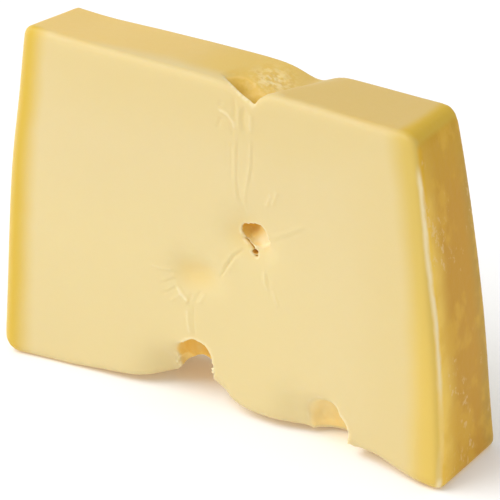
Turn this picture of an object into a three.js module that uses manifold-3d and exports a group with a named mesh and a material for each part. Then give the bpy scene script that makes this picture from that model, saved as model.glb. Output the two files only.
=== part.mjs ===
// A wedge of large-eyed semi-hard cheese, cut right across the wheel and stood on its longer rind-to-rind
// edge. It is one solid: a slab that narrows towards its crown, with swollen rind ends, softly rounded
// edges, a hollowed underside, and gas holes ("eyes") that the cuts opened.
//
// Millimetres, +Z up. X runs from one rind end to the other, and the front, the broad face with the open
// eye, looks along -Y. The origin is at the middle of the wedge's footprint.
import * as THREE from "three";
import { mergeVertices } from "three/addons/utils/BufferGeometryUtils.js";
import Module from "manifold-3d";

// The slab, before its ends swell and its eyes are opened.
const height = 87.2;
const foot = { length: 131.8, left: 29, right: 29.4 }; // length rind to rind, thickness at each end
const crown = { length: 115.6, left: 18.6, right: 21.4 };
const crownOffset = { x: -4, y: 1.7 }; // how far the crown's middle lies from the foot's
const endToe = 2.2; // how far each end's rear edge lies inside its front edge
const endBulge = 1.3; // how far each rind end swells past the straight line at mid height
const edgeRadius = 3;

// The underside is flat at both feet and hollowed between them. The front is dished towards its foot.
const hollow = { middle: -4, halfSpan: 42, rise: 2 };
const dish = { middle: -2, halfSpan: 60, depth: 5 };

// The gas holes that the cuts opened. Each has its place on a face, how deep its centre lies under that
// face, its half-sizes, and its heading about Z. Places are [x, z] on the front and [x, y] on the crown.
const eyes = {
  crownTrough: { face: "crown", at: [16.7, 0], depth: -2.8, half: [20, 6, 5.8], turn: 64 },
  crownPocket: { face: "crown", at: [10.8, -8.9], depth: 0.2, half: [5.8, 5.2, 5.6], turn: 20 },
  facePocket: { face: "front", at: [10.2, 47.7], depth: 3.6, half: [4, 6.2, 4.4], turn: 20 },
  footPocket: { face: "front", at: [-8.6, 9.6], depth: 4.5, half: [5.9, 8.2, 6.5], turn: 0 },
  footSlot: { face: "front", at: [-9.5, 1.7], depth: 4.6, half: [6.2, 9.6, 5.8], turn: 6 },
  sidePocket: { face: "front", at: [32.2, 3.1], depth: 4.8, half: [7.6, 8, 6.2], turn: -8 },
};

// The dents, where the skin has sunk towards an eye: how deep each is, and how far round it is felt.
const dents = [
  { face: "crown", at: [8, -14], depth: 1.6, reach: 6 },
  { face: "crown", at: [21.8, 12], depth: 1.4, reach: 5 },
  { face: "front", at: [11, 82], depth: 1.8, reach: 6 },
  { face: "front", at: [6, 49], depth: 1.8, reach: 6 },
  { face: "front", at: [-9.7, 36], depth: 3, reach: 5 },
  { face: "front", at: [-13.8, 4.2], depth: 3.6, reach: 7.5 },
  { face: "front", at: [24, 1], depth: 3.2, reach: 7 },
];

// How finely the surface is faceted.
const faceStep = 4.8; // the longest facet on the broad faces
const roundSteps = 2; // facets across each half of a rounded edge
const eyeSegments = 20;

const paste = new THREE.MeshStandardMaterial({ color: 0xf0dca3, roughness: 0.45, metalness: 0 });

const { lerp, degToRad } = THREE.MathUtils;
const thickest = Math.max(foot.left, foot.right);

// How far a stretch's hump stands at a place along it, from 0 at its ends to 1 at its middle.
const humpAt = (x, { middle, halfSpan }) => Math.max(0, 1 - ((x - middle) / halfSpan) ** 2);

// Bends a point of the straight block into the wedge: its taper, toe, bulge, dish and hollow.
function shape(point) {
  const up = point.z / height;
  const along = point.x / foot.length; // -1/2 at the left rind, 1/2 at the right
  const across = point.y / thickest; // -1/2 on the front, 1/2 on the rear
  const share = along + 0.5;
  const thickness = lerp(lerp(foot.left, foot.right, share), lerp(crown.left, crown.right, share), up);
  const length = lerp(foot.length, crown.length, up) + 2 * endBulge * Math.sin(Math.PI * up);
  const toe = endToe * (across + 0.5);
  point.x = crownOffset.x * up + along * (length - 2 * toe);
  point.y = crownOffset.y * up + across * thickness;
  point.y += dish.depth * humpAt(point.x, dish) * (0.5 - across) * (1 - up);
  point.z += hollow.rise * humpAt(point.x, hollow) * (1 - up);
  return point;
}

// For each face, the way into the paste, and the point at a place on it.
const faces = {
  front: {
    inward: new THREE.Vector3(0, 1, 0),
    pointAt: ([x, z]) => shape(new THREE.Vector3(x, -thickest / 2, z)),
  },
  crown: {
    inward: new THREE.Vector3(0, 0, -1),
    pointAt: ([x, y]) => shape(new THREE.Vector3(x, y, height)),
  },
};

// Sinks a point of the wedge's surface with the dents near it.
function sink(point) {
  const start = point.clone();
  for (const { face, at, depth, reach } of dents) {
    const { inward, pointAt } = faces[face];
    const apart = start.distanceTo(pointAt(at));
    point.addScaledVector(inward, depth * Math.exp(-(apart ** 2) / (2 * reach ** 2)));
  }
  return point;
}

// Facets along one side of the block: the even ones between the roundings, and both roundings.
const facetsAlong = (size) => Math.ceil((size - 2 * edgeRadius) / faceStep) + 2 * roundSteps;

// Turns the even spacing of a unit box, from -1/2 to 1/2, into one with equal angles in each rounding.
function spaced(even, size) {
  const facets = facetsAlong(size);
  const index = Math.round((even + 0.5) * facets);
  const flat = size / 2 - edgeRadius;
  const fromEnd = Math.min(index, facets - index);
  if (fromEnd >= roundSteps) return (flat * (2 * index - facets)) / (facets - 2 * roundSteps);
  const angle = (Math.PI / 4) * (1 - fromEnd / roundSteps);
  return Math.sign(even) * (flat + edgeRadius * Math.tan(angle));
}

// Brings a point of the square block's surface onto the rounded block's.
function roundOff(point, size) {
  const flat = size.clone().multiplyScalar(0.5).subScalar(edgeRadius);
  const core = point.clone().clamp(flat.clone().negate(), flat);
  return point.sub(core).setLength(edgeRadius).add(core);
}

function makeSlab() {
  const size = new THREE.Vector3(foot.length, thickest, height);
  const geometry = new THREE.BoxGeometry(1, 1, 1, ...size.toArray().map(facetsAlong));
  const position = geometry.getAttribute("position");
  const point = new THREE.Vector3();
  for (let i = 0; i < position.count; i++) {
    point.fromBufferAttribute(position, i);
    point.set(spaced(point.x, size.x), spaced(point.y, size.y), spaced(point.z, size.z));
    roundOff(point, size);
    point.z += height / 2;
    position.setXYZ(i, ...sink(shape(point)));
  }
  return geometry;
}

function makeEye({ face, at, depth, half, turn }) {
  const { inward, pointAt } = faces[face];
  const centre = pointAt(at).addScaledVector(inward, depth);
  const geometry = new THREE.SphereGeometry(1, eyeSegments, eyeSegments / 2);
  geometry.scale(...half);
  geometry.rotateZ(degToRad(turn));
  geometry.translate(...centre);
  return geometry;
}

const wasm = await Module();
wasm.setup();

function toSolid(geometry) {
  const bare = new THREE.BufferGeometry();
  bare.setAttribute("position", geometry.getAttribute("position"));
  bare.setIndex(geometry.index);
  const merged = mergeVertices(bare);
  const vertProperties = merged.getAttribute("position").array;
  const triVerts = new Uint32Array(merged.index.array);
  return new wasm.Manifold(new wasm.Mesh({ numProp: 3, vertProperties, triVerts }));
}

function toGeometry(solid) {
  const { vertProperties, triVerts } = solid.getMesh();
  const geometry = new THREE.BufferGeometry();
  geometry.setAttribute("position", new THREE.BufferAttribute(vertProperties, 3));
  geometry.setIndex(new THREE.BufferAttribute(triVerts, 1));
  geometry.computeVertexNormals();
  return geometry;
}

function makeWedge() {
  let solid = toSolid(makeSlab());
  for (const eye of Object.values(eyes)) solid = solid.subtract(toSolid(makeEye(eye)));
  const wedge = new THREE.Mesh(toGeometry(solid), paste);
  wedge.name = "cheese_wedge";
  return wedge;
}

const cheese = new THREE.Group();
cheese.add(makeWedge());
export default cheese;
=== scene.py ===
import itertools
import math
import time

import bmesh
import bpy
import numpy as np
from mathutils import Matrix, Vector, bvhtree, kdtree


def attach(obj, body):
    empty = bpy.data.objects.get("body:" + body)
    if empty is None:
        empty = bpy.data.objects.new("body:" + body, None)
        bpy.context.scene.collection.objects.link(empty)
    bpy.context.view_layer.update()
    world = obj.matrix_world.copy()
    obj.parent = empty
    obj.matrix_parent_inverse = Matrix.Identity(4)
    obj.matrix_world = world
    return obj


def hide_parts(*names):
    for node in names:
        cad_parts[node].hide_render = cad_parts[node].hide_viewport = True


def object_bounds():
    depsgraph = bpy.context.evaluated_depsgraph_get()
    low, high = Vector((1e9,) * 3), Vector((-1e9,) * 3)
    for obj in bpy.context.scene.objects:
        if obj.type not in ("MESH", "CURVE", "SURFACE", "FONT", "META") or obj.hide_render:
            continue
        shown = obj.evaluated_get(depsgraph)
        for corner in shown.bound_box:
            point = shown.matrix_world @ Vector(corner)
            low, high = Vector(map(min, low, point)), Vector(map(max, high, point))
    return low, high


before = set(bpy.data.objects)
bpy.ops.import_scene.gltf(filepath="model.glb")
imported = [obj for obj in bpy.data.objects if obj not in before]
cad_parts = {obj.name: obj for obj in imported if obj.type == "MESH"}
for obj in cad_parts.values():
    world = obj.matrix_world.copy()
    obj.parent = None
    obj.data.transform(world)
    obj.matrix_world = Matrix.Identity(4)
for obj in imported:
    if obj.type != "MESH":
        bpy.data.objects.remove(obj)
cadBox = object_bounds()
started = time.time()
scene = bpy.context.scene
mm = 0.001


def say(words):
    print(f"[{time.time() - started:6.1f} s] {words}")


def lerp(a, b, t):
    return a + (b - a) * t


def smooth(x, low, high):  # 0 below low, 1 above high, and a soft step between
    t = np.clip((x - low) / (high - low), 0, 1)
    return t * t * (3 - 2 * t)


def grain(points, size, seed):  # smooth noise from -1 to 1 on a lattice of that spacing
    cells = 32
    lattice = np.random.default_rng(seed).uniform(-1, 1, (cells, cells, cells))
    place = points / size
    corner = np.floor(place).astype(int)
    t = place - corner
    t = t * t * (3 - 2 * t)
    total = np.zeros(len(points))
    for step in itertools.product((0, 1), repeat=3):
        weight = np.where(step, t, 1 - t).prod(axis=1)
        total += weight * lattice[tuple(((corner + step) % cells).T)]
    return total


def bell(points, spot):  # 1 at the spot, falling softly all round it
    apart = np.linalg.norm(points - spot["at"], axis=1)
    return np.exp(-((apart / spot["reach"]) ** 2) / 2)


def nearSpots(points, spots):  # 1 inside the spots, falling softly to 0 outside
    weight = np.zeros(len(points))
    for spot in spots:
        apart = np.linalg.norm(points - spot["at"], axis=1)
        weight = np.maximum(weight, 1 - smooth(apart / spot["reach"], 0.5, 1.5))
    return weight


def getPoints(mesh):
    flat = np.empty(len(mesh.vertices) * 3)
    mesh.vertices.foreach_get("co", flat)
    return flat.reshape(-1, 3)


def setPoints(mesh, points):
    mesh.vertices.foreach_set("co", points.ravel())
    mesh.update()


def getNormals(mesh):
    flat = np.empty(len(mesh.vertices) * 3)
    mesh.vertex_normals.foreach_get("vector", flat)
    return flat.reshape(-1, 3)


def newObject(name, mesh):
    made = bpy.data.objects.new(name, mesh)
    scene.collection.objects.link(made)
    return made


def applyModifier(made, kind, **settings):
    modifier = made.modifiers.new(kind, kind)
    for key, value in settings.items():
        setattr(modifier, key, value)
    evaluated = made.evaluated_get(bpy.context.evaluated_depsgraph_get())
    old = made.data
    made.data = bpy.data.meshes.new_from_object(evaluated)
    made.modifiers.clear()
    bpy.data.meshes.remove(old)


# All modelling is in millimetres. The finished mesh is scaled to metres once, at the end.
# x runs from the steep rind end to the leaning one, the front face looks along -y, and the foot is at z = 0.
wedge = {
    "height": (cadBox[1].z - cadBox[0].z) / mm,
    "foot": {"length": 131.8, "left": 29.0, "right": 29.4},  # rind to rind, and the thickness at each end
    "crown": {"length": 115.6, "left": 18.6, "right": 21.4},
    "crownOffset": (-4.0, 1.7),  # how far the crown's middle lies from the foot's
    "endToe": 2.2,  # each end's rear edge lies this far inside its front edge
    "endBulge": 1.25,  # each rind end swells this far past a straight line
    "bulgeRise": 1.2,  # above 1, the swelling is highest above the middle
    "hollow": {"middle": -4.0, "halfSpan": 42.0, "rise": 2.0},  # under the foot
    "dish": {"middle": -2.0, "halfSpan": 60.0, "depth": 5.0},  # in the front, deepest at the foot
    "wobble": {"size": 34.0, "depth": 0.35, "lifted": 0.03, "seed": 11},  # how unevenly it was cut
    "voxel": 0.8,
    "bevelSteps": 8,
    # rounding of the block's edges, keyed by the side each one is on along x, y and z (0 is the way it runs)
    "edges": {
        (0, -1, 1): 2.6, (0, 1, 1): 0.9, (0, -1, -1): 2.8, (0, 1, -1): 1.0,
        (-1, -1, 0): 2.4, (1, -1, 0): 2.7, (-1, 1, 0): 1.2, (1, 1, 0): 2.1,
        (-1, 0, 1): 1.9, (1, 0, 1): 4.5, (-1, 0, -1): 5.2, (1, 0, -1): 2.4,
    },
}
thickest = max(wedge["foot"]["left"], wedge["foot"]["right"])
blockSize = Vector((wedge["foot"]["length"], thickest, wedge["height"]))


def makeBlock():  # the straight block, with each edge rounded by its own radius
    bm = bmesh.new()
    bmesh.ops.create_cube(bm, size=1)
    weights = bm.edges.layers.float.new("bevel_weight_edge")
    widest = max(wedge["edges"].values())
    for edge in bm.edges:
        middle = (edge.verts[0].co + edge.verts[1].co) / 2
        edge[weights] = wedge["edges"][tuple(int(round(2 * c)) for c in middle)] / widest
    for vert in bm.verts:
        vert.co = (vert.co.x * blockSize.x, vert.co.y * blockSize.y, (vert.co.z + 0.5) * blockSize.z)
    mesh = bpy.data.meshes.new("cheeseWedge")
    bm.to_mesh(mesh)
    bm.free()
    block = newObject("cheeseWedge", mesh)
    applyModifier(block, "BEVEL", width=widest, segments=wedge["bevelSteps"], limit_method="WEIGHT")
    applyModifier(block, "REMESH", mode="VOXEL", voxel_size=wedge["voxel"])
    return block


def hump(x, stretch):  # 1 at the middle of a stretch, 0 at its ends and beyond
    return np.maximum(0, 1 - ((x - stretch["middle"]) / stretch["halfSpan"]) ** 2)


def bendBlock(points):  # bends the straight block into the wedge
    foot, crown = wedge["foot"], wedge["crown"]
    up = points[:, 2] / blockSize.z
    along = points[:, 0] / blockSize.x
    across = points[:, 1] / blockSize.y
    share = along + 0.5
    thickness = lerp(lerp(foot["left"], foot["right"], share), lerp(crown["left"], crown["right"], share), up)
    swelling = 2 * wedge["endBulge"] * np.sin(np.pi * np.clip(up, 0, 1) ** wedge["bulgeRise"])
    length = lerp(foot["length"], crown["length"], up) + swelling
    x = wedge["crownOffset"][0] * up + along * (length - 2 * wedge["endToe"] * (across + 0.5))
    y = wedge["crownOffset"][1] * up + across * thickness
    y += wedge["dish"]["depth"] * hump(x, wedge["dish"]) * (0.5 - across) * (1 - up)
    z = points[:, 2] + wedge["hollow"]["rise"] * hump(x, wedge["hollow"]) * (1 - up)
    return np.stack([x, y, z], axis=1)


# The trough across the crown, from front to rear: it falls gently on its left and steeply on its right.
trough = {
    "front": (7.9, -8.4), "rear": (13.6, 11.2),
    "stops": (0, 0.5, 1),  # the front, the middle and the rear, where these are given
    "depth": (1.9, 3.3, 2.4),
    "left": (4.6, 5.4, 4.0), "right": (1.5, 1.8, 3.0),  # how far it reaches each way
    "fade": (9.0, 0.5),  # from not felt to fully felt, below the crown
}


def sinkTrough(points):  # presses the trough into the crown
    start, end = np.array(trough["front"]), np.array(trough["rear"])
    way = end - start
    reach = np.linalg.norm(way)
    way = way / reach
    offset = points[:, :2] - start
    t = np.clip(offset @ way / reach, 0, 1)
    side = offset @ np.array([way[1], -way[0]])  # positive on the right
    stops = trough["stops"]
    width = np.where(side < 0, np.interp(t, stops, trough["left"]), np.interp(t, stops, trough["right"]))
    share = np.exp(-((np.abs(side) / width) ** 2) / 2)
    low, high = trough["fade"]
    below = smooth(points[:, 2], wedge["height"] - low, wedge["height"] - high)
    points[:, 2] -= np.interp(t, stops, trough["depth"]) * share * below


# The pocket scooped out of the crown left of the trough: steep behind its front rim, easing out to the rear.
scoop = {
    "rim": ((-3.9, -4.8), (7.3, -8.3)),
    "bow": 0.7,  # how far the rim's middle stands forward of a straight line
    "depth": 3.0,
    "wall": 0.7,  # from the rim back to full depth
    "easing": (0.8, 8.8),  # from full depth back to the crown
    "along": (-1.5, 7.0, 11.3, 13.2),  # how far along the rim it starts, is full, starts to end and has ended
    "fade": (14.0, 4.5),  # below the crown
}
backSteps = 12  # enough rounds to undo a bend to within a hair


def scoopDepth(points):
    start, end = np.array(scoop["rim"])
    way = (end - start) / np.linalg.norm(end - start)
    offset = points[:, :2] - start
    along = offset @ way
    rise, full, ease, over = scoop["along"]
    behind = offset @ np.array([-way[1], way[0]]) + scoop["bow"] * np.sin(np.pi * np.clip(along / ease, 0, 1))
    share = smooth(along, rise, full) * (1 - smooth(along, ease, over))
    share = share * smooth(behind, 0, scoop["wall"]) * (1 - smooth(behind, *scoop["easing"]))
    low, high = scoop["fade"]
    return scoop["depth"] * share * smooth(points[:, 2], wedge["height"] - low, wedge["height"] - high)


def unscoop(points):  # where the points were before the pocket was scooped out
    rest = points.copy()
    for _ in range(backSteps):
        rest[:, 2] = points[:, 2] + scoopDepth(rest)
    return rest


# Places where the skin is drawn in or swells out: where, by how much each way, and how far round it is felt.
closedEyes = [
    {"at": (7.0, -8.3, 49.0), "by": (0.0, 1.1, 0.0), "reach": 4.4},  # round the open eye
    {"at": (2.4, -8.5, 48.0), "by": (0.0, 0.5, 0.0), "reach": 3.0},
    {"at": (-11.4, -8.6, 34.2), "by": (0.0, 1.3, 0.0), "reach": 3.3},  # the closed eye
    {"at": (-5.6, -8.6, 35.0), "by": (0.0, 0.9, 0.0), "reach": 2.9},
]
drawnIn = closedEyes + [
    {"at": (10.9, -8.4, 46.6), "by": (0.0, 1.3, 0.0), "reach": 1.9},  # the open eye's shallow side
    {"at": (-16.5, -8.5, 3.0), "by": (0.5, 5.0, 2.6), "reach": 5.0},  # the curled lip left of the foot's eye
    {"at": (-5.0, -9.5, 3.0), "by": (0.0, 0.8, 4.5), "reach": 4.5},  # and the one on its right
    {"at": (23.0, -10.5, 4.0), "by": (0.6, 3.0, 0.6), "reach": 4.6},  # left of the side eye
    {"at": (43.0, -11.5, 0.0), "by": (0.0, 0.8, 2.6), "reach": 6.8},  # and right of it
    {"at": (55.0, -13.5, 0.0), "by": (0.0, 0.0, 0.4), "reach": 6.0},
    {"at": (-50.0, 9.0, 87.0), "by": (0.0, 0.0, -0.4), "reach": 7.0},  # the crown's outline
    {"at": (-42.0, 9.0, 87.0), "by": (0.0, 0.0, -0.3), "reach": 12.0},
    {"at": (40.0, 2.0, 92.0), "by": (0.0, 0.0, -0.55), "reach": 19.0},
    {"at": (64.0, -13.0, 24.0), "by": (0.8, -0.2, 0.0), "reach": 17.0},  # the rind ends
    {"at": (66.0, 13.0, 14.0), "by": (-0.3, 0.0, 0.0), "reach": 12.0},
    {"at": (-64.0, -10.0, 46.0), "by": (-0.3, 0.0, 0.0), "reach": 14.0},
    {"at": (-62.0, -9.0, 68.0), "by": (0.35, 0.0, 0.0), "reach": 8.0},
]


def drawSkinIn(points):
    rest = points.copy()
    for pull in drawnIn:
        points += bell(rest, pull)[:, None] * np.array(pull["by"])


def wobbleSkin(points, up):  # no knife cuts quite straight; the foot stays on the floor
    wobble = wedge["wobble"]
    rest = points.copy()
    lifted = smooth(up, 0, wobble["lifted"])
    for axis in range(3):
        shift = wobble["depth"] * grain(rest, wobble["size"], wobble["seed"] + axis)
        points[:, axis] += shift * (lifted if axis == 2 else 1)


def shapeWedge(block):  # from places in the straight block to places in the wedge
    points = bendBlock(block)
    sinkTrough(points)
    drawSkinIn(points)
    wobbleSkin(points, block[:, 2] / blockSize.z)
    return points


def unshapeWedge(points):  # and back again, by closing in on it
    block = points.copy()
    for _ in range(backSteps):
        block += points - shapeWedge(block)
    return block


say("bending the block")
body = makeBlock()
setPoints(body.data, shapeWedge(getPoints(body.data)))
skin = bvhtree.BVHTree.FromObject(body, bpy.context.evaluated_depsgraph_get())

# The opened eyes: the centre, half-sizes (the second runs along "into"), and how lumpy the walls are.
eyes = {
    "facePocket": {"at": (8.7, -6.9, 49.6), "half": (3.7, 2.9, 3.2), "into": (-0.2, 1, 0.1), "lumps": 0.35},
    "faceCorner": {"at": (6.2, -6.9, 49.8), "half": (2.3, 2.6, 2.2), "into": (-0.2, 1, 0.2), "lumps": 0.3},
    "facePit": {"at": (7.9, -7.6, 44.9), "half": (1.0, 1.6, 0.75), "into": (-0.3, 1, 0.2), "lumps": 0.3},
    "footPocket": {"at": (-9.5, -5.5, 11.2), "half": (5.9, 8.0, 6.8), "into": (-0.35, 1, 0), "lumps": 0.3},
    "footTunnel": {"at": (-13.0, -1.5, 2.0), "half": (6.0, 15.5, 5.8), "into": (-0.65, 1, 0), "lumps": 0.3},
    "footLip": {"at": (-12.6, -6.0, 7.2), "half": (3.5, 5.0, 3.8), "into": (-0.35, 1, 0), "lumps": 0.3},
    "footFlare": {"at": (-8.0, -8.5, -2.0), "half": (12.5, 8.0, 6.5), "into": (0, 1, 0), "lumps": 0.2},
    "sideArch": {"at": (31.2, -8.4, 5.6), "half": (6.9, 6.6, 6.6), "into": (0.1, 1, 0), "lumps": 0.3},
    "sideEye": {"at": (31.0, -8.6, 0.0), "half": (7.2, 7.0, 8.0), "into": (0.1, 1, 0), "lumps": 0.3},
}
lumpGrain = {"coarse": 3.2, "fine": 1.2, "fineShare": 0.5, "firstSeed": 40}


def makeEye(name, eye, seed):  # a lumpy ball to cut out
    bm = bmesh.new()
    bmesh.ops.create_icosphere(bm, subdivisions=5, radius=1)
    mesh = bpy.data.meshes.new(name)
    bm.to_mesh(mesh)
    bm.free()
    points = getPoints(mesh)
    half = np.array(eye["half"])
    bumps = grain(points * half, lumpGrain["coarse"], seed)
    bumps = bumps + lumpGrain["fineShare"] * grain(points * half, lumpGrain["fine"], seed + 1)
    lumps = 1 + eye["lumps"] / half.max() * bumps
    turn = np.array(Vector(eye["into"]).to_track_quat("Y", "Z").to_matrix())
    setPoints(mesh, (points * lumps[:, None] * half) @ turn.T + eye["at"])
    return newObject(name, mesh)


def cut(body, cutter):
    applyModifier(body, "BOOLEAN", operation="DIFFERENCE", solver="MANIFOLD", object=cutter)
    bpy.data.objects.remove(cutter)


say("opening the eyes")
for index, (name, eye) in enumerate(eyes.items()):
    cut(body, makeEye(name, eye, lumpGrain["firstSeed"] + 2 * index))

# Torn crumbs left on the lips: centre and radius.
crumbs = [
    ((-3.8, -9.0, 12.4), 0.38), ((-4.0, -9.0, 10.6), 0.34), ((-3.9, -9.1, 9.8), 0.36),
    ((-15.6, -7.4, 8.4), 0.6), ((-16.4, -6.4, 7.0), 0.6), ((-15.2, -7.6, 9.6), 0.4),
    ((37.9, -10.9, 6.3), 0.5), ((38.1, -10.8, 5.2), 0.45), ((37.6, -10.6, 4.2), 0.4),
]

# Where the edges of the eyes have slumped round instead of staying crisp.
slump = {"softness": {"factor": 0.6, "iterations": 260}, "spots": [
    {"at": (-2.0, 1.0, 86.5), "reach": 4.0},
    {"at": (3.0, 2.5, 85.5), "reach": 4.0},
    {"at": (8.0, 0.5, 84.5), "reach": 3.5},
    {"at": (-4.5, -2.5, 87.0), "reach": 3.0},
    {"at": (-15.2, -8.5, 12.5), "reach": 2.6},
    {"at": (-15.5, -7.0, 6.5), "reach": 2.2},
    {"at": (-1.5, -9.5, 5.5), "reach": 2.4},
    {"at": (25.5, -10.2, 7.5), "reach": 4.2},
    {"at": (27.5, -10.5, 10.5), "reach": 3.0},
    {"at": (22.5, -9.0, 3.5), "reach": 2.8},
    {"at": (31.0, -10.8, 12.0), "reach": 2.8},
    {"at": (39.5, -11.0, 3.0), "reach": 1.8},
    {"at": (12.0, -7.4, 46.6), "reach": 2.0},
    {"at": (10.4, -7.2, 45.8), "reach": 1.5},
]}
fineMesh = {"voxel": 0.32, "triangles": 190000}


def addCrumbs():
    bm = bmesh.new()
    bm.from_mesh(body.data)
    for at, radius in crumbs:
        made = bmesh.ops.create_icosphere(bm, subdivisions=2, radius=radius)
        bmesh.ops.translate(bm, verts=made["verts"], vec=at)
    bm.to_mesh(body.data)
    bm.free()


def slumpEdges():
    weight = nearSpots(getPoints(body.data), slump["spots"])
    group = body.vertex_groups.new(name="slumped")
    for index in np.flatnonzero(weight > 0.01):
        group.add([int(index)], weight[index], "REPLACE")
    applyModifier(body, "SMOOTH", vertex_group="slumped", **slump["softness"])


say("adding the crumbs and slumping the edges")
addCrumbs()
applyModifier(body, "REMESH", mode="VOXEL", voxel_size=fineMesh["voxel"])
slumpEdges()

# Creases in the front's skin, as points in x and z. A negative depth is a ridge.
creases = [
    {"path": [(4.0, 48.0), (5.4, 47.4), (6.4, 46.6), (7.4, 45.8), (7.7, 44.9), (8.3, 44.1), (9.4, 44.4)],
     "depth": 1.1, "width": 0.38},  # the tear at the open eye
    {"path": [(3.9, 75), (3.4, 70), (3.3, 63), (4.1, 58.8), (5.5, 55.3), (7.4, 53.3)],
     "depth": 0.12, "width": 0.45},
    {"path": [(2.6, 75), (2.7, 71.9), (2.8, 60.3), (3.1, 57.8), (4.0, 55.9)], "depth": -0.1, "width": 0.45},
    {"path": [(7.0, 76), (7.1, 67.9), (6.3, 63.3), (5.7, 61.1), (5.5, 58.0), (6.4, 56.2)],
     "depth": -0.14, "width": 0.5},
    {"path": [(8.2, 75), (7.8, 68.1), (7.4, 64.7), (6.6, 61.3)], "depth": 0.09, "width": 0.45},
    {"path": [(0.3, 73), (0.4, 64.9)], "depth": 0.08, "width": 0.5},
    {"path": [(1.5, 72), (1.5, 62.5)], "depth": 0.12, "width": 0.5},
    {"path": [(5.4, 82.6), (4.9, 79), (5.8, 75.5)], "depth": 0.2, "width": 0.7},
    {"path": [(3.8, 82.6), (3.4, 79), (3.9, 75.5)], "depth": -0.13, "width": 0.7},
    {"path": [(7.0, 81.5), (7.2, 76)], "depth": -0.16, "width": 0.8},
    {"path": [(2.1, 84.2), (2.6, 81), (2.2, 78)], "depth": 0.17, "width": 0.65},
    {"path": [(-3.2, 80.8), (-1.5, 79.9), (0.6, 79.3), (2.0, 78.0), (2.8, 75.5)],
     "depth": -0.24, "width": 0.6},
    {"path": [(-0.8, 82.8), (-2.9, 79.2)], "depth": 0.12, "width": 0.6},
    {"path": [(-1.2, 78.2), (-2.6, 75)], "depth": 0.15, "width": 0.5},
    {"path": [(1.4, 77.5), (2.1, 74.1)], "depth": 0.14, "width": 0.45},
    {"path": [(5.4, 45.4), (2.3, 42.6), (0.5, 39.7), (-0.9, 37.4), (-2.3, 35.2)],
     "depth": 0.28, "width": 0.32},
    {"path": [(5.0, 43.8), (2.9, 41.8), (1.3, 39.2), (0.0, 37.0)], "depth": -0.1, "width": 0.35},
    {"path": [(3.8, 45.2), (1.6, 43.2), (-0.2, 40.4), (-1.7, 37.8)], "depth": -0.1, "width": 0.35},
    {"path": [(12.9, 50.4), (18.5, 53.4), (24.0, 56.9)], "depth": -0.1, "width": 0.5},
    {"path": [(13.0, 49.0), (18.4, 52.0), (23.0, 54.8)], "depth": 0.07, "width": 0.5},
    {"path": [(11.6, 57.8), (13.5, 62.2)], "depth": -0.16, "width": 0.5},
    {"path": [(13.4, 58.6), (15.2, 63.4)], "depth": -0.14, "width": 0.5},
    {"path": [(-22.6, 33.9), (-19.4, 33.7), (-15.6, 34.0)], "depth": -0.14, "width": 0.4},
    {"path": [(-19.8, 29.2), (-15.2, 32.0)], "depth": 0.1, "width": 0.4},
    {"path": [(-19.2, 26.7), (-14.5, 29.9)], "depth": 0.11, "width": 0.4},
    {"path": [(-18.8, 30.4), (-14.9, 32.9)], "depth": -0.13, "width": 0.4},
    {"path": [(-18.2, 27.7), (-14.2, 31.2)], "depth": -0.13, "width": 0.4},
    {"path": [(-16.6, 25.4), (-12.9, 28.9)], "depth": -0.14, "width": 0.45},
    {"path": [(-15.0, 30.2), (-13.0, 28.2), (-10.4, 26.3)], "depth": -0.28, "width": 0.6},
    {"path": [(-7.6, 30.6), (-9.4, 27.0)], "depth": 0.16, "width": 0.45},
    {"path": [(-10.2, 29.2), (-11.4, 25.4)], "depth": 0.2, "width": 0.4},
    {"path": [(-6.2, 30.6), (-8.0, 27.0)], "depth": -0.14, "width": 0.5},
    {"path": [(-9.4, 27.0), (-9.5, 21.9), (-8.9, 17.6)], "depth": 0.17, "width": 0.4},
    {"path": [(-11.3, 25.4), (-11.2, 22.0), (-10.4, 17.8)], "depth": -0.2, "width": 0.5},
    {"path": [(11.2, 42.0), (11.6, 38.1), (12.9, 35.9)], "depth": -0.16, "width": 0.5},
    {"path": [(13.8, 37.8), (15.8, 32.5)], "depth": -0.14, "width": 0.5},
    {"path": [(12.4, 41.0), (13.0, 37.9)], "depth": 0.12, "width": 0.45},
]
creaseLook = {
    "spacing": 0.4,  # between the points that a path is walked in
    "felt": 3.0,  # no crease is felt further off than this
    "fade": (-0.02, 0.18),  # shares of a path over which each end fades in
    "facing": -0.35,  # only skin whose normal's y is below this is creased
}


def creaseDepth(points, facing):
    total = np.zeros(len(points))
    for crease in creases:
        path = np.array(crease["path"], float)
        steps = np.concatenate([[0], np.cumsum(np.linalg.norm(np.diff(path, axis=0), axis=1))])
        at = np.linspace(0, steps[-1], max(8, int(steps[-1] / creaseLook["spacing"])))
        line = np.stack([np.interp(at, steps, path[:, k]) for k in (0, 1)], axis=1)
        low, high = line.min(0) - creaseLook["felt"], line.max(0) + creaseLook["felt"]
        plane = points[:, (0, 2)]
        near = np.flatnonzero(((plane > low) & (plane < high)).all(axis=1) & facing)
        gaps = np.linalg.norm(plane[near, None] - line[None], axis=2)
        nearest = gaps.argmin(axis=1)
        gap = gaps[np.arange(len(near)), nearest] / crease["width"]
        t = nearest / (len(line) - 1)
        fade = smooth(t, *creaseLook["fade"]) * smooth(1 - t, *creaseLook["fade"])
        total[near] += crease["depth"] * fade * np.exp(-(gap**2))
    return total


def facingFront(mesh):
    return (getNormals(mesh)[:, 1] < creaseLook["facing"]) & (getPoints(mesh)[:, 1] < 0)


# The crumbly patch in the trough: how far its flakes stand up or sink, and the sizes of their two grains.
torn = {
    "at": (5.4, 2.9, 84.8), "reach": 3.3, "depth": 0.22,
    "coarse": 1.3, "fine": 0.6, "fineShare": 0.6, "lowest": -0.6, "seed": 71,
}


def flakeHeight(points):
    flakes = grain(points, torn["coarse"], torn["seed"])
    flakes = flakes + torn["fineShare"] * grain(points, torn["fine"], torn["seed"] + 1)
    return torn["depth"] * np.clip(flakes, torn["lowest"], 1) * bell(points, torn)


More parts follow.
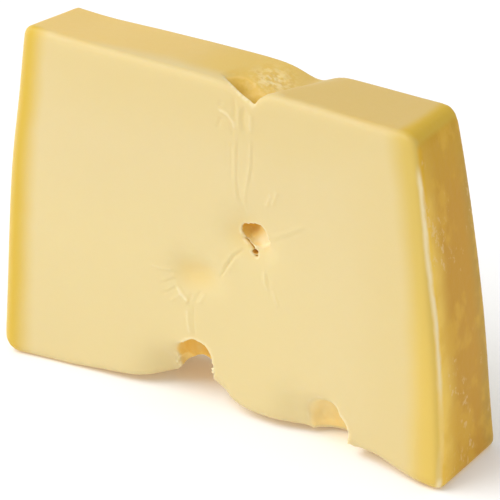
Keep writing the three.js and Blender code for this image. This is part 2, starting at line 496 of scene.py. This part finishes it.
say("creasing the skin")
points = getPoints(body.data)
points[:, 1] += creaseDepth(points, facingFront(body.data))
points[:, 2] -= scoopDepth(points)
points[:, 2] += flakeHeight(points)
setPoints(body.data, points)

say("thinning the mesh")
applyModifier(body, "DECIMATE", ratio=fineMesh["triangles"] / (2 * len(body.data.polygons)))
for polygon in body.data.polygons:
    polygon.use_smooth = True

# Where the walls of the eyes are painted amber, as painted shade, at its strongest deep inside them.
amberShades = [
    {"at": (5.4, -5.6, 51.4), "reach": 2.3, "share": 1.25},
    {"at": (7.8, -6.6, 44.9), "reach": 1.1, "share": 1.2},
    {"at": (5.6, -6.6, 83.6), "reach": 3.0, "share": 0.95},
    {"at": (1.6, -4.6, 84.6), "reach": 3.4, "share": 0.8},
    {"at": (-0.5, -2.6, 85.6), "reach": 4.5, "share": 0.65},
    {"at": (7.0, -7.8, 83.6), "reach": 0.9, "share": 1.2},
    {"at": (-12.0, -3.5, 12.5), "reach": 5.0, "share": 0.62},
    {"at": (-12.0, 3.0, 4.0), "reach": 9.0, "share": 0.5},
    {"at": (30.0, -5.5, 3.0), "reach": 5.0, "share": 0.3},
]

# And where they are painted palest: painted light on walls that their hollow keeps in shade.
palest = [
    {"at": (10.2, -5.2, 47.6), "reach": 2.0, "share": 1.0},
    {"at": (33.5, -9.5, 10.5), "reach": 1.2, "share": 0.5},
]

# Where the walls of an eye glow: painted light, standing for light that comes through the paste.
glows = [
    {"at": (9.8, -5.4, 48.2), "reach": 3.2},
    {"at": (-10.0, -3.0, 11.0), "reach": 6.5},
    {"at": (30.0, -5.5, 5.5), "reach": 7.0},
]

# How deep under the block's skin a point of an eye's wall lies where each mark begins and is full.
depths = {"wall": 0.4, "pale": 0.2, "glow": (0.15, 1.0), "amberShade": (0.3, 1.0)}
rimWidth = (0.25, 1.0)  # how far from an eye its pale rim, a painted highlight, starts to fade and ends
crumbHalo = (1.0, 1.7)  # the same round a crumb, in its radii


def setMark(name, kind, field, values):
    mark = body.data.attributes.new(name, kind, "POINT")
    mark.data.foreach_set(field, values.ravel())


def strongest(points, spots):
    share = np.zeros(len(points))
    for spot in spots:
        share = np.maximum(share, spot["share"] * bell(points, spot))
    return share


def nearCrumbs(points):
    share = np.zeros(len(points))
    for at, radius in crumbs:
        apart = np.linalg.norm(points - at, axis=1) / radius
        share = np.maximum(share, 1 - smooth(apart, *crumbHalo))
    return share


def nearWalls(points, buried):  # 1 on the skin beside an eye, falling to 0 further off
    walls = np.flatnonzero(buried > depths["wall"])
    tree = kdtree.KDTree(len(walls))
    for index in walls:
        tree.insert(points[index], int(index))
    tree.balance()
    gap = np.zeros(len(points))
    for index in np.flatnonzero(buried < depths["wall"]):
        gap[index] = tree.find(points[index])[2]
    return (1 - smooth(gap, *rimWidth)) * (buried < depths["wall"])


say("marking the skin")
points = getPoints(body.data)
buried = np.array([skin.find_nearest(point)[3] for point in points])
crumbly = nearCrumbs(points)
# painted highlight on the crisp lips of the eyes, paler round the crumbs, and painted light on the palest
# walls
rim = nearWalls(points, buried) * (1 - nearSpots(points, slump["spots"]))
rim = np.maximum(rim, crumbly)
rim = np.maximum(rim, strongest(points, palest) * (buried > depths["pale"]))
amberShade = strongest(points, amberShades) * smooth(buried, *depths["amberShade"]) * (1 - crumbly)
setMark("block", "FLOAT_VECTOR", "vector", unshapeWedge(unscoop(points)))
setMark("crease", "FLOAT", "value", creaseDepth(points, facingFront(body.data)))
setMark("rim", "FLOAT", "value", rim)
setMark("torn", "FLOAT", "value", bell(points, torn))
setMark("amberShade", "FLOAT", "value", amberShade)
setMark("glow", "FLOAT", "value", nearSpots(points, glows) * smooth(buried, *depths["glow"]))
# painted shade in the skin pressed in round the closed eyes, as strong as it is drawn in
setMark("pressedShade", "FLOAT", "value", sum(pull["by"][1] * bell(points, pull) for pull in closedEyes))
setPoints(body.data, points * mm)


class Wire:  # a shader socket that can be reckoned with
    def __init__(self, nodes, socket):
        self.nodes = nodes
        self.socket = socket

    def __add__(self, other):
        return self.nodes.math("ADD", self, other)

    def __radd__(self, other):
        return self.nodes.math("ADD", other, self)

    def __sub__(self, other):
        return self.nodes.math("SUBTRACT", self, other)

    def __rsub__(self, other):
        return self.nodes.math("SUBTRACT", other, self)

    def __mul__(self, other):
        return self.nodes.math("MULTIPLY", self, other)

    def __rmul__(self, other):
        return self.nodes.math("MULTIPLY", other, self)

    def __truediv__(self, other):
        return self.nodes.math("DIVIDE", self, other)

    def __abs__(self):
        return self.nodes.math("ABSOLUTE", self, 0)

    def most(self, other):
        return self.nodes.math("MAXIMUM", self, other)

    def step(self, low, high):  # 0 at low, 1 at high, and a soft step between
        ends = {"Value": self, "From Min": low, "From Max": high}
        return self.nodes.add("ShaderNodeMapRange", {"interpolation_type": "SMOOTHSTEP"}, ends)

    def parts(self):
        return [self.nodes.add("ShaderNodeSeparateXYZ", {}, {"Vector": self}, way) for way in "XYZ"]


class Nodes:  # the nodes of one material or world
    def __init__(self, owner):
        owner.use_nodes = True
        self.tree = owner.node_tree
        self.tree.nodes.clear()

    def add(self, kind, settings, inputs, output=0):
        node = self.tree.nodes.new(kind)
        for key, value in settings.items():
            setattr(node, key, value)
        for key, value in inputs.items():
            if isinstance(value, Wire):
                self.tree.links.new(value.socket, node.inputs[key])
            else:
                node.inputs[key].default_value = value
        return Wire(self, node.outputs[output]) if len(node.outputs) else None

    def math(self, operation, first, second):
        return self.add("ShaderNodeMath", {"operation": operation}, {0: first, 1: second})

    def scaled(self, vector, by):
        return self.add("ShaderNodeVectorMath", {"operation": "MULTIPLY"}, {0: vector, 1: by})

    def mark(self, name, output="Fac"):
        return self.add("ShaderNodeAttribute", {"attribute_name": name}, {}, output)

    def noise(self, place, scale, detail, rough):
        inputs = {"Vector": place, "Scale": scale, "Detail": detail, "Roughness": rough}
        return self.add("ShaderNodeTexNoise", {}, inputs)

    def mixed(self, share, low, high):
        return self.add("ShaderNodeMix", {"data_type": "RGBA"}, {0: share, 6: low, 7: high}, 2)

    def bump(self, height, distance, strength):
        return self.add("ShaderNodeBump", {}, {"Height": height, "Distance": distance, "Strength": strength})


paste = {
    "face": (0.67, 0.54, 0.275, 1),
    "faceLow": (0.69, 0.56, 0.278, 1),
    "crown": (0.62, 0.435, 0.135, 1),
    "crownLeft": (0.70, 0.49, 0.155, 1),
    "crownGold": (0.67, 0.455, 0.10, 1),  # round the trough
    "bandLeft": (0.62, 0.42, 0.055, 1),
    "bandRight": (0.60, 0.43, 0.10, 1),
    "bandLow": (0.68, 0.48, 0.105, 1),
    "corner": (0.61, 0.395, 0.035, 1),  # the crown's leaning end
    "endFront": (0.84, 0.56, 0.085, 1),
    "end": (0.57, 0.29, 0.012, 1),
    "endLight": (0.72, 0.42, 0.03, 1),
    "endTop": (0.585, 0.325, 0.008, 1),
    "endRear": (0.49, 0.295, 0.035, 1),
    "gold": (0.74, 0.50, 0.13, 1),  # painted shade on the eyes' shallow walls, the pressed skin and the grooves; also the crumbly patch
    # the next two are painted shade for the deep walls of the eyes, below and in the crown
    "eye": (0.66, 0.33, 0.03, 1),
    "eyeCrown": (0.57, 0.35, 0.04, 1),
    # painted shade for the dark slit of the tear
    "tearShade": (0.48, 0.24, 0.02, 1),
    "flake": (0.80, 0.64, 0.31, 1),
    "pale": (0.84, 0.74, 0.50, 1),
    "fleck": (0.80, 0.60, 0.30, 1),
    "unlit": (0, 0, 0, 1),
    "glow": 0.28,
    "roughness": 0.42,
    "unevenness": 0.15,  # of the roughness
    "specular": 0.2,
    "subsurface": 0.25,
    "subsurfaceRadius": (1.0, 0.7, 0.3),
    "subsurfaceScale": 0.003,
    "bump": (0.0002, 0.35),  # distance and strength
}

# Each noise's scale, detail and roughness. Drift and cloud also move the edges of the zones about.
grains = {
    "drift": (0.045, 2.0, 0.5), "cloud": (0.13, 3.0, 0.55), "mottle": (0.35, 4.0, 0.6),
    "fleck": (0.45, 3.0, 0.7), "fleckPatch": (0.13, 2.0, 0.5), "paleGrain": (0.5, 3.0, 0.6),
    "flake": (0.5, 3.0, 0.6), "bump": (0.5, 4.0, 0.55),
}

# Where each zone starts and is full, in millimetres of the straight block.
zones = {
    # along x
    "right": (-5, 5), "faceRight": (10, 50), "crownRight": (-45, 20),
    "marginRight": (5, 25), "marginLeft": (-28, -52),
    # up z
    "bandLow": (62, 18), "faceLow": (68, 34), "faceHigh": (62, 84), "endLow": (60, 10), "endTop": (64, 82),
    "crownEyes": (60, 75), "bowHigh": (62, 38), "bowLow": (2, 14),
    "lineHigh": (81, 76), "lineLow": (18, 31), "lineFoot": (5, 1.5),
    # in from the rind ends
    "bandEdge": (-0.5, 3.2), "faint": (34, 6), "corner": (7.0, 2.5), "end": (1.0, 0.1),
    # back from the front
    "margin": (2, 11), "marginNarrowing": (1.7, 7), "turned": (1.5, 4),
    "endInward": (0.5, 10.5), "line": (6, 4),
    # down from the crown, and in from the rear
    "crown": (1.7, 0.6), "turnedDown": (7, 3.5), "endRear": (9, 1),
    # either way from the middle of the golden stretch, and from the pale line
    "crownGold": (20, 6), "paleLine": (1.7, 0.1),
}

# The same for marks, noises and shares of a width, which have no unit.
ranges = {
    "band": (1.0, 0.3), "patch": (-0.02, 0.2), "fleck": (0.55, 0.66), "fleckPatch": (0.56, 0.68),
    "gold": (0.0, 0.5), "amberShade": (0.3, 1.0), "pressedShade": (0.2, 1.7), "flake": (0.42, 0.62),
    "ridgeHighlight": (0.05, 0.3), "grooveShade": (0.05, 0.4), "tearShade": (0.4, 0.85),
}

# How strongly each colour shows at most.
shares = {
    "bandEdge": 0.65, "faint": 0.22, "faceHigh": 0.2, "faceRight": 0.7, "crownGold": 0.7, "endTop": 0.8,
    "patch": 0.5, "fleck": 0.42, "pressedShade": 0.4, "torn": 0.5, "line": 0.7, "paleGrain": 0.7,
    "ridgeHighlight": 0.4, "rim": 0.6, "grooveShade": 0.3,
}

# How far drift moves the edge of each zone about, in millimetres.
# Where there are two, the second is for cloud.
wander = {
    "band": 5, "faint": 14, "faceHigh": 10, "faceLow": 20, "margin": 8, "crownRight": 30, "corner": 4,
    "endInward": (6, 5), "endRear": (6, 4),
}
cloudWander = {"crownGold": 10, "endTop": 10}

patchDrift = 0.6  # how much drift is added to cloud in the lighter patches of the ends

# Other sizes, in millimetres.
bandWidth = 10.0  # and one more on the right
crownGoldAt = 3.0  # the middle of the crown's golden stretch, along x
cornerNarrowing = 0.05  # of the corner's colour, for each millimetre towards the rear
endFrontWidening = 2.0  # of the front colour of the ends, at the foot
lineBow = 1.5
lineWaver = 1.6

# Below 1, a noise is drawn out that way.
drawnOut = {"fleckPatch": (1, 1, 0.6), "paleGrain": (1, 1, 0.35)}


def makePaste():
    material = bpy.data.materials.new("cheesePaste")
    nodes = Nodes(material)
    block = nodes.mark("block", "Vector")
    x, y, z = block.parts()
    half = blockSize / 2
    drift = nodes.noise(block, *grains["drift"]) - 0.5
    cloud = nodes.noise(block, *grains["cloud"]) - 0.5
    mottle = nodes.noise(block, *grains["mottle"]) - 0.5
    fromEnd = half.x - abs(x)
    fromFront = y + half.y
    fromRear = half.y - y
    fromTop = blockSize.z - z
    right = x.step(*zones["right"])
    # yellow along both ends of the cut faces, and faintly towards the crown
    # the right band is painted lighter towards the foot: painted light against the shade its rounded edge
    # gets there
    bandRight = nodes.mixed(z.step(*zones["bandLow"]), paste["bandRight"], paste["bandLow"])
    width = bandWidth + right + drift * wander["band"]
    bandEdge = right.most(fromEnd.step(*zones["bandEdge"]) * shares["bandEdge"] + (1 - shares["bandEdge"]))
    band = (fromEnd / width).step(*ranges["band"]) * bandEdge
    faint = (fromEnd + drift * wander["faint"]).step(*zones["faint"]) * right * shares["faint"]
    high = (z + drift * wander["faceHigh"]).step(*zones["faceHigh"]) * shares["faceHigh"]
    low = (z + drift * wander["faceLow"]).step(*zones["faceLow"])
    low = low * (1 - x.step(*zones["faceRight"]) * shares["faceRight"])
    face = nodes.mixed(low, paste["face"], paste["faceLow"])
    colour = nodes.mixed(faint.most(high), face, paste["bandRight"])
    colour = nodes.mixed(band, colour, nodes.mixed(right, paste["bandLeft"], bandRight))
    # the crown is browner, but for its front margin, which is narrower towards both ends
    towardsEnds = x.step(*zones["marginRight"]).most(x.step(*zones["marginLeft"]))
    starts, full = zones["margin"]
    startsLess, fullLess = zones["marginNarrowing"]
    margin = fromFront + drift * wander["margin"]
    margin = margin.step(starts - towardsEnds * startsLess, full - towardsEnds * fullLess)
    crown = fromTop.step(*zones["crown"]) * margin
    crownRight = (x + drift * wander["crownRight"]).step(*zones["crownRight"])
    crownColour = nodes.mixed(crownRight, paste["crownLeft"], paste["crown"])
    fromGold = abs(x - crownGoldAt + cloud * cloudWander["crownGold"])
    crownGold = fromGold.step(*zones["crownGold"]) * shares["crownGold"]
    crownColour = nodes.mixed(crownGold, crownColour, paste["crownGold"])
    corner = right * (fromEnd + drift * wander["corner"] + y * cornerNarrowing).step(*zones["corner"])
    crownColour = nodes.mixed(corner, crownColour, paste["corner"])
    colour = nodes.mixed(crown, colour, crownColour)
    turned = fromTop.step(*zones["turnedDown"]) * fromFront.step(*zones["turned"])
    colour = nodes.mixed(corner * turned, colour, paste["corner"])
    # the rind ends
    driftBy, cloudBy = wander["endInward"]
    inward = fromFront + drift * driftBy + cloud * cloudBy - z.step(*zones["endLow"]) * endFrontWidening
    endColour = nodes.mixed(inward.step(*zones["endInward"]), paste["endFront"], paste["end"])
    driftBy, cloudBy = wander["endRear"]
    rear = (fromRear - drift * driftBy - cloud * cloudBy).step(*zones["endRear"])
    endColour = nodes.mixed(rear, endColour, paste["endRear"])
    top = (z + cloud * cloudWander["endTop"]).step(*zones["endTop"]) * shares["endTop"]
    endColour = nodes.mixed(top, endColour, paste["endTop"])
    patch = (cloud + drift * patchDrift).step(*ranges["patch"]) * shares["patch"]
    endColour = nodes.mixed(patch, endColour, paste["endLight"])
    fleckPatch = nodes.noise(nodes.scaled(block, drawnOut["fleckPatch"]), *grains["fleckPatch"])
    fleckPatch = fleckPatch.step(*ranges["fleckPatch"])
    fleck = nodes.noise(block, *grains["fleck"]).step(*ranges["fleck"]) * fleckPatch
    endColour = nodes.mixed(fleck * shares["fleck"], endColour, paste["fleck"])
    colour = nodes.mixed(fromEnd.step(*zones["end"]), colour, endColour)
    # painted shade: the eyes' walls go gold where shallow and amber where deep, and the pressed skin round
    # them goes gold
    amberShade = nodes.mark("amberShade") * (1 + mottle)
    pressedShade = nodes.mark("pressedShade").step(*ranges["pressedShade"]) * shares["pressedShade"]
    colour = nodes.mixed(amberShade.step(*ranges["gold"]).most(pressedShade), colour, paste["gold"])
    wall = nodes.mixed(z.step(*zones["crownEyes"]), paste["eye"], paste["eyeCrown"])
    colour = nodes.mixed(amberShade.step(*ranges["amberShade"]), colour, wall)
    # the crumbly patch
    torn = nodes.mark("torn")
    colour = nodes.mixed(torn * shares["torn"], colour, paste["gold"])
    flake = torn * nodes.noise(block, *grains["flake"]).step(*ranges["flake"])
    colour = nodes.mixed(flake, colour, paste["flake"])
    # a pale line down the front edge of the leaning end, which bows back on to that end below the middle
    paleGrain = nodes.noise(nodes.scaled(block, drawnOut["paleGrain"]), *grains["paleGrain"])
    bow = lineBow * z.step(*zones["bowHigh"]) * z.step(*zones["bowLow"])
    line = abs(fromFront - fromEnd - bow - (paleGrain - 0.5) * lineWaver).step(*zones["paleLine"])
    line = line * right * fromFront.step(*zones["line"]) * z.step(*zones["lineHigh"])
    line = line * (paleGrain * shares["paleGrain"] + (1 - shares["paleGrain"]))
    strength = z.step(*zones["lineLow"]) * shares["line"] + (1 - shares["line"])
    line = line * strength.most(z.step(*zones["lineFoot"]))
    # painted highlights: pale rims and ridges; painted shade: gold grooves and the dark tear
    crease = nodes.mark("crease")
    ridgeHighlight = (crease * -1).step(*ranges["ridgeHighlight"]) * shares["ridgeHighlight"]
    rim = nodes.mark("rim") * (0.5 + paleGrain) * shares["rim"]
    colour = nodes.mixed(line.most(ridgeHighlight).most(rim), colour, paste["pale"])
    colour = nodes.mixed(crease.step(*ranges["grooveShade"]) * shares["grooveShade"], colour, paste["gold"])
    colour = nodes.mixed(crease.step(*ranges["tearShade"]), colour, paste["tearShade"])
    shader = nodes.add("ShaderNodeBsdfPrincipled", {"subsurface_method": "RANDOM_WALK"}, {
        "Base Color": colour,
        "Roughness": paste["roughness"] + mottle * paste["unevenness"],
        "Specular IOR Level": paste["specular"],
        "Subsurface Weight": paste["subsurface"],
        "Subsurface Radius": paste["subsurfaceRadius"],
        "Subsurface Scale": paste["subsurfaceScale"],
        # painted light: walls marked glow shine with their own colour
        "Emission Color": nodes.mixed(nodes.mark("glow"), paste["unlit"], colour),
        "Emission Strength": paste["glow"],
        "Normal": nodes.bump(nodes.noise(block, *grains["bump"]), *paste["bump"]),
    })
    nodes.add("ShaderNodeOutputMaterial", {}, {"Surface": shader})
    return material


say("colouring the paste")
body.data.materials.clear()
body.data.materials.append(makePaste())
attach(body, "root")
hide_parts("cheese_wedge")

# The pale floor. Near the wedge it carries a painted contact shadow: greyer where an occlusion node finds the
# sky partly hidden, and warmer right at the contact, with a painted warm glow there for the light the paste
# colours.
ground = {
    "half": 3.0,  # metres
    "nearness": 0.012,  # how far off the wedge still darkens it, in metres
    "samples": 8,
    "open": (0.0, 0.9), "contact": (0.0, 0.25), "glowing": (0.0, 0.6),  # of the open sky above it
    "colour": (0.9, 0.9, 0.9, 1), "shade": (0.88, 0.87, 0.9, 1), "contactShade": (0.92, 0.82, 0.7, 1),
    "glow": (1, 1, 1, 1), "contactPaintedGlow": (1.9, 1.5, 1.05, 1), "glowStrength": 0.1,
    "roughness": 0.7, "specular": 0.1,
}


def makeFloorWhite():
    material = bpy.data.materials.new("floorWhite")
    nodes = Nodes(material)
    settings, inputs = {"samples": ground["samples"]}, {"Distance": ground["nearness"]}
    openness = nodes.add("ShaderNodeAmbientOcclusion", settings, inputs, "AO").step(*ground["open"])
    shade = nodes.mixed(openness, ground["shade"], ground["colour"])
    glow = nodes.mixed(openness.step(*ground["glowing"]), ground["contactPaintedGlow"], ground["glow"])
    shader = nodes.add("ShaderNodeBsdfPrincipled", {}, {
        "Base Color": nodes.mixed(openness.step(*ground["contact"]), ground["contactShade"], shade),
        "Roughness": ground["roughness"],
        "Specular IOR Level": ground["specular"],
        "Emission Color": glow,
        "Emission Strength": ground["glowStrength"],
    })
    nodes.add("ShaderNodeOutputMaterial", {}, {"Surface": shader})
    return material


say("laying the floor")
floorMesh = bpy.data.meshes.new("floor")
corners = [(-1, -1), (1, -1), (1, 1), (-1, 1)]
floorMesh.from_pydata([(ground["half"] * x, ground["half"] * y, 0) for x, y in corners], [], [(0, 1, 2, 3)])
floorMesh.materials.append(makeFloorWhite())
floor = newObject("floor", floorMesh)

# One broad light from the left, in metres and watts, and a white studio that is dimmer overhead.
keyLight = {"at": (-0.58, -0.64, 1.05), "aim": (0, 0, 0.04), "size": (1.2, 1.0), "power": 13.7}
studio = {"colour": (1, 1, 1, 1), "strength": 1.0, "dimming": 0.4, "height": (0.05, 0.7)}


def addLight(name, look):
    data = bpy.data.lights.new(name, "AREA")
    data.shape = "RECTANGLE"
    data.size, data.size_y = look["size"]
    data.energy = look["power"]
    light = newObject(name, data)
    light.location = look["at"]
    light.rotation_euler = (Vector(look["aim"]) - Vector(look["at"])).to_track_quat("-Z", "Y").to_euler()


def makeStudio():
    world = bpy.data.worlds.new("studio")
    nodes = Nodes(world)
    height = nodes.add("ShaderNodeTexCoord", {}, {}, "Generated").parts()[2]
    strength = studio["strength"] - height.step(*studio["height"]) * studio["dimming"]
    background = nodes.add("ShaderNodeBackground", {}, {"Color": studio["colour"], "Strength": strength})
    nodes.add("ShaderNodeOutputWorld", {}, {"Surface": background})
    return world


say("lighting the studio")
addLight("key", keyLight)
scene.world = makeStudio()
scene.view_settings.view_transform = "Standard"

# Degrees and millimetres. The camera looks at "aim" from that far off.
camera = {
    "azimuth": 35.3, "elevation": 25.33, "distance": 1000.0, "aim": (-0.23, 1.65, 39.6),
    "lens": 296.4, "sensor": 36, "farthest": 20,  # what lies past so many metres isn't seen
}


def placeCamera():
    azimuth, elevation = math.radians(camera["azimuth"]), math.radians(camera["elevation"])
    level = math.cos(elevation)
    back = Vector((math.sin(azimuth) * level, -math.cos(azimuth) * level, math.sin(elevation)))
    data = bpy.data.cameras.new("camera")
    data.lens = camera["lens"]
    data.sensor_width = camera["sensor"]
    data.clip_end = camera["farthest"]
    scene.camera = newObject("camera", data)
    scene.camera.location = (Vector(camera["aim"]) + back * camera["distance"]) * mm
    scene.camera.rotation_euler = back.to_track_quat("Z", "Y").to_euler()


placeCamera()
say("done")
